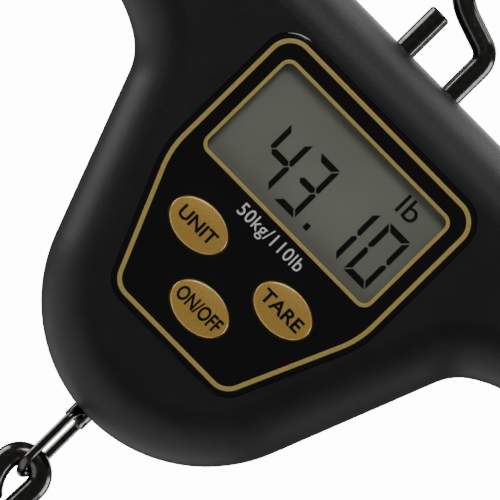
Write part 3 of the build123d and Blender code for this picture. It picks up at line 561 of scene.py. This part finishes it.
def label_height(point):
    """Height of the label's surface over its flat level."""
    rest = 1.0
    for key in KEYS:
        away = max(0.0, oval_distance(point, key) - KEY_GAP)
        rest *= 1 - math.exp(-((away / PILLOW_REACH) ** 2))
    ripple = noise.noise(Vector((point.x / RIPPLE_LENGTH, point.y / RIPPLE_LENGTH, 0)))
    height = PILLOW_HEIGHT * (1 - rest)
    height += RIPPLE_HEIGHT * ripple * smooth((RIPPLE_TOP - point.y) / RIPPLE_BLEND)
    border = label_distance(point)
    height += BORDER_RISE * smooth(1 - abs(border) / BORDER_HALF)
    frame_half = FRAME_LINE / 2
    height += FRAME_RISE * smooth(1 - abs(window_distance(point) - frame_half) / frame_half)
    height -= RIM_DROP * smooth(1 - (border + LABEL_MARGIN) / RIM_WIDTH)
    return height


def label_points():
    """Points of the flat label, and the edges that follow its lines and openings."""
    loops = [label_loop(LABEL_MARGIN), label_loop(LABEL_MARGIN - RIM_STEP),
             label_loop(BORDER_HALF), label_loop(0), label_loop(-BORDER_HALF),
             window_loop(FRAME_LINE), window_loop(FRAME_LINE / 2), window_loop(0)]
    loops += [oval_loop(key, KEY_GAP, HOLE_POINTS) for key in KEYS]
    points, edges = [], []
    for loop in loops:
        first = len(points)
        points += loop
        edges += [(first + i, first + (i + 1) % len(loop)) for i in range(len(loop))]
    for row in range(round(GRID_HEIGHT / (GRID_STEP * ROW_SHARE))):
        z = GRID_TOP - row * GRID_STEP * ROW_SHARE
        for column in range(round(GRID_WIDTH / GRID_STEP)):
            spot = Vector((GRID_LEFT + (column + 0.5 * (row % 2)) * GRID_STEP, z))
            if (nearest_key_distance(spot) > KEY_GAP + HOLE_CLEAR
                    and label_distance(spot) > BORDER_HALF + LINE_CLEAR
                    and window_distance(spot) > FRAME_LINE + LINE_CLEAR):
                points.append(spot)
    return points, edges


def label_triangles():
    """Triangles of the flat label, and the material slot of each."""
    points, edges = label_points()
    made = delaunay_2d_cdt(points, edges, [], 0, MERGE_DISTANCE)
    flat, triangles = made[0], made[2]
    keep, choose = [], []
    for face in triangles:
        middle = (flat[face[0]] + flat[face[1]] + flat[face[2]]) / 3
        border, frame_out = label_distance(middle), window_distance(middle)
        if border < -LABEL_MARGIN or frame_out < 0 or nearest_key_distance(middle) < KEY_GAP:
            continue
        keep.append(tuple(face))
        on_line = abs(border) < BORDER_HALF or frame_out < FRAME_LINE
        choose.append(GOLD_SLOT if on_line else FILM_SLOT)
    return flat, keep, choose


def make_label():
    """Embossed label sheet with its printed border, window and three key holes."""
    flat, keep, choose = label_triangles()
    used = sorted({i for face in keep for i in face})
    where = {old: new for new, old in enumerate(used)}
    top_y, back_y = label_low.y, label_high.y
    front = [face_point(flat[i].x, flat[i].y, top_y - label_height(flat[i]) * MM) for i in used]
    back = [Vector((p.x, back_y, p.z)) for p in front]
    count = len(front)
    faces = [tuple(where[i] for i in face) for face in keep]
    sides = [pair for a, b, c in faces for pair in ((a, b), (b, c), (c, a))]
    known = set(sides)
    faces += [(c + count, b + count, a + count) for a, b, c in faces]
    choose += [FILM_SLOT] * len(keep)
    for a, b in sides:
        if (b, a) not in known:
            faces.append((b, a, a + count, b + count))
            choose.append(FILM_SLOT)
    mesh = smooth_mesh("label_sheet", front + back, faces, [LABEL, GOLD], LABEL_CREASE, choose)
    piece("label_sheet", mesh, "housing", "label", "label_overlay")


# --- Keys --------------------------------------------------------------------------------
KEY_RISE = 1.08                # top of the dome over the housing's face
KEY_SHOULDER = 0.28            # top of the straight side
KEY_ROUND = 0.55               # rounding of the rim, and its height as a share of that
ROUND_RISE = 0.8
KEY_CROWN = KEY_SHOULDER + KEY_ROUND * ROUND_RISE
KEY_SINK = 0.3                 # loop below the shoulder that keeps the side straight
FLANGE_REACH = 1.0
FLANGE_THICKNESS = 0.9
KEY_POINTS = 96
ROUND_STEPS = 6
DOME_STEPS = 14
KEY_CREASE = 40


def key_height(key, x, z):
    """Height of a key's domed face over the housing's."""
    middle_x, middle_z = KEYS[key]
    across = (x - middle_x) / (KEY_SIZE[0] / 2 - KEY_ROUND)
    up = (z - middle_z) / (KEY_SIZE[1] / 2 - KEY_ROUND)
    inside = min(1.0, across * across + up * up)
    return KEY_CROWN + (KEY_RISE - KEY_CROWN) * (1 - inside)


def make_key(key):
    """Domed oval key with a rounded rim and a hidden flange."""
    _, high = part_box("button_" + key)
    back = (FACE_Y - high.y) / MM
    flange = back + FLANGE_THICKNESS
    rings = [(FLANGE_REACH, back), (FLANGE_REACH, flange), (0.0, flange),
             (0.0, KEY_SHOULDER - KEY_SINK), (0.0, KEY_SHOULDER)]
    for i in range(1, ROUND_STEPS + 1):
        turn = math.radians(90 / ROUND_STEPS * i)
        rise = KEY_ROUND * ROUND_RISE * math.sin(turn)
        rings.append((-KEY_ROUND * (1 - math.cos(turn)), KEY_SHOULDER + rise))
    points, faces = [], []
    for grow, height in rings:
        loop = oval_loop(key, grow, KEY_POINTS)
        points += [face_point(p.x, p.y, FACE_Y - height * MM) for p in loop]
    x, z = KEYS[key]
    rim = oval_loop(key, -KEY_ROUND, KEY_POINTS)
    for i in range(1, DOME_STEPS):
        share = 1 - i / DOME_STEPS
        for p in rim:
            at_x, at_z = x + (p.x - x) * share, z + (p.y - z) * share
            points.append(face_point(at_x, at_z, FACE_Y - key_height(key, at_x, at_z) * MM))
    last = len(points) - KEY_POINTS
    for low in range(0, last, KEY_POINTS):
        high = low + KEY_POINTS
        for i in range(KEY_POINTS):
            j = (i + 1) % KEY_POINTS
            faces.append((low + i, low + j, high + j, high + i))
    tip = len(points)
    points.append(face_point(x, z, FACE_Y - KEY_RISE * MM))
    faces += [(last + i, last + (i + 1) % KEY_POINTS, tip) for i in range(KEY_POINTS)]
    faces.append(tuple(reversed(range(KEY_POINTS))))
    mesh = smooth_mesh("key_cap_" + key, points, faces, [KEY], KEY_CREASE)
    piece("key_cap_" + key, mesh, key + "_key", "key", "button_" + key)


# --- Printing ------------------------------------------------------------------------------
PRINT_RISE = 0.03              # over the surface under it
PRINT_SINK = 0.02              # and the depth of its hidden back
CURVE_STEPS = 6
LONGEST_EDGE = 0.6             # longer ones are split, so that the print follows a dome
SPLIT_ROUNDS = 3
WELD_DISTANCE = 0.004
PRINT_CREASE = 35
LEGENDS = {                    # text, and its left, lower, right and upper limits
    "unit": ("UNIT", (-17.5, -58.3, -7.7, -55.3)),
    "tare": ("TARE", (6.9, -58.3, 17.8, -55.3)),
    "on_off": ("ON/OFF", (-5.9, -70.45, 5.9, -67.2)),
}
CAPACITY = "50kg/110lb"
CAPACITY_BOX = (-9.1, -50.15, 8.9, -46.2)


def printed(name, text, box, heights, material, body, slot, bold, spread=1.0):
    """Raised printing that fills a box, on a surface of known height over the face."""
    curve = bpy.data.curves.new(name, "FONT")
    curve.body = text
    curve.offset = bold
    curve.space_character = spread
    curve.resolution_u = CURVE_STEPS
    holder = bpy.data.objects.new(name + "_text", curve)
    bpy.context.collection.objects.link(holder)
    bpy.context.view_layer.update()
    mesh = bpy.data.meshes.new_from_object(holder)
    bpy.data.objects.remove(holder)
    bm = bmesh.new()
    bm.from_mesh(mesh)
    bpy.data.meshes.remove(mesh)
    xs, ys = [v.co.x for v in bm.verts], [v.co.y for v in bm.verts]
    left, right, bottom, top = min(xs), max(xs), min(ys), max(ys)
    x0, z0, x1, z1 = box
    for v in bm.verts:
        v.co.x = x0 + (v.co.x - left) / (right - left) * (x1 - x0)
        v.co.y = z0 + (v.co.y - bottom) / (top - bottom) * (z1 - z0)
        v.co.z = 0
    for _ in range(SPLIT_ROUNDS):
        long_edges = [e for e in bm.edges if e.calc_length() > LONGEST_EDGE]
        if not long_edges:
            break
        bmesh.ops.subdivide_edges(bm, edges=long_edges, cuts=1)
        bmesh.ops.triangulate(bm, faces=bm.faces[:])
    bmesh.ops.remove_doubles(bm, verts=bm.verts[:], dist=WELD_DISTANCE)
    bmesh.ops.recalc_face_normals(bm, faces=bm.faces[:])
    if sum(f.normal.z * f.calc_area() for f in bm.faces) < 0:
        bmesh.ops.reverse_faces(bm, faces=bm.faces[:])
    extruded = bmesh.ops.extrude_face_region(bm, geom=bm.faces[:])
    moved = {v for v in extruded["geom"] if isinstance(v, bmesh.types.BMVert)}
    for v in bm.verts:
        height = heights(v.co.x, v.co.y) + (PRINT_RISE if v in moved else -PRINT_SINK)
        v.co = face_point(v.co.x, v.co.y, FACE_Y - height * MM)
    bmesh.ops.recalc_face_normals(bm, faces=bm.faces[:])
    mesh = bpy.data.meshes.new(name)
    bm.to_mesh(mesh)
    bm.free()
    mesh.materials.append(material)
    mesh.shade_smooth()
    mesh.set_sharp_from_angle(angle=math.radians(PRINT_CREASE))
    piece(name, mesh, body, slot)


def prism(name, outlines, front_y, depth, material, body, slot):
    """Thin raised flat shapes on a plane that faces forwards."""
    points, faces = [], []
    for outline in outlines:
        first, count = len(points), len(outline)
        points += [face_point(x, z, front_y) for x, z in outline]
        points += [face_point(x, z, front_y + depth) for x, z in outline]
        faces.append(tuple(range(first, first + count)))
        faces.append(tuple(reversed(range(first + count, first + 2 * count))))
        for i in range(count):
            j = (i + 1) % count
            faces.append((first + j, first + i, first + count + i, first + count + j))
    mesh = bpy.data.meshes.new(name)
    mesh.from_pydata(points, [], faces)
    bm = bmesh.new()
    bm.from_mesh(mesh)
    bmesh.ops.recalc_face_normals(bm, faces=bm.faces[:])
    bm.to_mesh(mesh)
    bm.free()
    mesh.materials.append(material)
    piece(name, mesh, body, slot)


# --- Display ---------------------------------------------------------------------------------
DIGIT_TOP, DIGIT_MIDDLE, DIGIT_BOTTOM = -27.85, -34.73, -41.62
UPRIGHT_WIDTH = 1.2
BAR_HEIGHT = 1.45
SEGMENT_GAP = 0.13
BAR_INSET = SEGMENT_GAP * 1.5          # upper and lower bars, from the digit's side
BAR_SLANT = BAR_HEIGHT * 0.9
MIDDLE_TIP = UPRIGHT_WIDTH * 0.62      # pointed ends of the middle bar
MIDDLE_INSET = UPRIGHT_WIDTH + 0.22
UPRIGHT_INSET = SEGMENT_GAP * 2.4      # upright's outer end, from the digit's top or bottom
UPRIGHT_SLANT = UPRIGHT_WIDTH * 1.05
NOTCH_WIDTH = UPRIGHT_WIDTH * 0.45     # where an upright meets the middle bar's tip
NOTCH_GAP = SEGMENT_GAP * 3.5
SHOWN = {"0": "abcdef", "1": "bc", "3": "abcdg", "4": "bcfg"}
READING = (("4", -13.9, -7.5), ("3", -5.5, 0.4), ("1", 6.4, 12.7), ("0", 15.05, 21.35))
DECIMAL_POINT = [(2.9, -40.15), (4.1, -40.15), (4.1, -41.6), (2.9, -41.6)]
UNIT_BOX = (13.8, -25.4, 18.5, -20.75)
SEGMENT_RISE = 0.03
SEGMENT_DEPTH = 0.05


def digit_segments(digit, left, right):
    """Outlines of one digit's lit segments."""
    half_bar = BAR_HEIGHT / 2
    shapes = {}
    for name, edge, inward in (("a", DIGIT_TOP, -1), ("d", DIGIT_BOTTOM, 1)):
        inner = edge + inward * BAR_HEIGHT
        shapes[name] = [(left + BAR_INSET, edge), (right - BAR_INSET, edge),
                        (right - BAR_INSET - BAR_SLANT, inner),
                        (left + BAR_INSET + BAR_SLANT, inner)]
    shapes["g"] = [(left + MIDDLE_TIP, DIGIT_MIDDLE),
                   (left + MIDDLE_INSET, DIGIT_MIDDLE + half_bar),
                   (right - MIDDLE_INSET, DIGIT_MIDDLE + half_bar),
                   (right - MIDDLE_TIP, DIGIT_MIDDLE),
                   (right - MIDDLE_INSET, DIGIT_MIDDLE - half_bar),
                   (left + MIDDLE_INSET, DIGIT_MIDDLE - half_bar)]
    uprights = (("f", left, 1, DIGIT_TOP, 1), ("b", right, -1, DIGIT_TOP, 1),
                ("e", left, 1, DIGIT_BOTTOM, -1), ("c", right, -1, DIGIT_BOTTOM, -1))
    for name, outer, inward, end, away in uprights:
        inner = outer + inward * UPRIGHT_WIDTH
        shapes[name] = [(outer, end - away * UPRIGHT_INSET),
                        (inner, end - away * (UPRIGHT_INSET + UPRIGHT_SLANT)),
                        (inner, DIGIT_MIDDLE + away * (half_bar + SEGMENT_GAP)),
                        (outer + inward * NOTCH_WIDTH, DIGIT_MIDDLE + away * SEGMENT_GAP),
                        (outer, DIGIT_MIDDLE + away * NOTCH_GAP)]
    return [shapes[s] for s in SHOWN[digit]]


def make_display():
    """Reading 43.10 and its unit on the front of the display glass."""
    outlines = [outline for place in READING for outline in digit_segments(*place)]
    outlines.append(DECIMAL_POINT)
    front_y = lcd_low.y - SEGMENT_RISE * MM
    prism("display_digits", outlines, front_y, SEGMENT_DEPTH * MM, SEGMENT, "housing", "display")
    glass = (FACE_Y - lcd_low.y) / MM
    printed("display_unit", "lb", UNIT_BOX, lambda x, z: glass,
            SEGMENT, "housing", "display", bold=0.004)


# --- Finishes of the CAD nodes ------------------------------------------------------------------
def finish_nodes(materials):
    """Give each CAD node's own slots a finished material."""
    for node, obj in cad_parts.items():
        for slot in obj.material_slots:
            slot.material = materials[node]


make_camera()
make_world()
make_floor()
for name, (place, size, power) in LIGHTS.items():
    make_light(name, place, size, power)

HOUSING = matte_housing()
LABEL = gloss_label()
GOLD = gold_print()
KEY = gold_key()
WHITE = white_print()
BLACK = black_print()
SEGMENT = display_segment()
WIRE = dark_nickel()
STEEL = zinc_steel()
RUBBER = plain_plastic("contact_rubber", (0.35, 0.09, 0.07), roughness=0.6)
COMPONENT = plain_plastic("component_black", (0.02, 0.02, 0.022), roughness=0.45)
INNER = plain_plastic("inner_plastic", (0.5, 0.5, 0.48), roughness=0.5)
LEAD = soft_sleeve("lead_sleeve", (0.3, 0.02, 0.015))
BATTERY = battery_sleeve()

make_label()
for key in KEYS:
    make_key(key)
for key, (text, box) in LEGENDS.items():
    printed("legend_" + key, text, box, lambda x, z, key=key: key_height(key, x, z),
            BLACK, key + "_key", "key", bold=0.022)
flat_level = (FACE_Y - label_low.y) / MM
printed("capacity_marking", CAPACITY, CAPACITY_BOX,
        lambda x, z: flat_level + label_height(Vector((x, z))),
        WHITE, "housing", "label", bold=0.006, spread=1.08)
make_display()

finish_nodes({
    "front_housing": HOUSING, "rear_housing": HOUSING, "battery_door": HOUSING,
    "housing_screws": STEEL, "board_screws": STEEL, "cell_screws": STEEL,
    "label_overlay": LABEL, "display_window": clear_lens(), "lcd_glass": display_face(),
    "lcd_frame": INNER, "zebra_strips": RUBBER, "circuit_board": solder_resist(),
    "board_components": COMPONENT, "key_switches": COMPONENT,
    "button_unit": KEY, "button_tare": KEY, "button_on_off": KEY,
    "plunger_unit": INNER, "plunger_tare": INNER, "plunger_on_off": INNER,
    "load_cell": milled_aluminium(), "load_pin": STEEL, "pin_bush": INNER,
    "strain_gauges": plain_plastic("gauge_film", (0.55, 0.3, 0.08), roughness=0.35),
    "load_cell_leads": LEAD, "battery_leads": LEAD,
    "top_hook": WIRE, "swivel_retainer": STEEL, "thrust_washer": STEEL, "swivel_stem": WIRE,
    "swivel_nut": STEEL, "clevis_pin": WIRE, "chain_link": WIRE, "load_hook": WIRE,
    "battery_1": BATTERY, "battery_2": BATTERY,
    "battery_contacts": STEEL, "battery_springs": STEEL,
})
